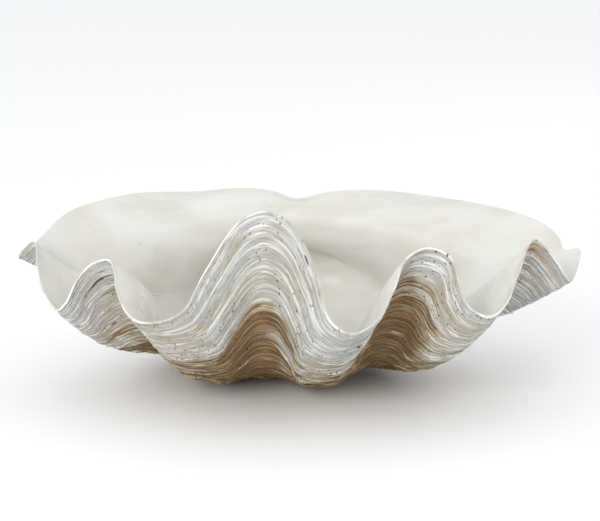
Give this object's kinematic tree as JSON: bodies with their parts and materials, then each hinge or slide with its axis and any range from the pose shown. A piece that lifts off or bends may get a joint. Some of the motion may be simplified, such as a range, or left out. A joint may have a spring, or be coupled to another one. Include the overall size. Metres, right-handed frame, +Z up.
{
  "type": "giant clam shell",
  "caption": "Single valve of a giant clam, a deep open bowl with a folded, scalloped margin, lying hollow side up.",
  "frame": {"origin": "centre of the bounding box at the level that the worn belly rests on", "axes": "+X along the hinge line to the right end, -Y towards the folded front margin, +Z up out of the hollow"},
  "size_m": [0.6248, 0.4036, 0.2392],
  "materials": {
    "shell": "chalky outside, satin inside"
  },
  "bodies": {
    "root": {"clam_shell": "shell"}
  },
  "joints": []
}
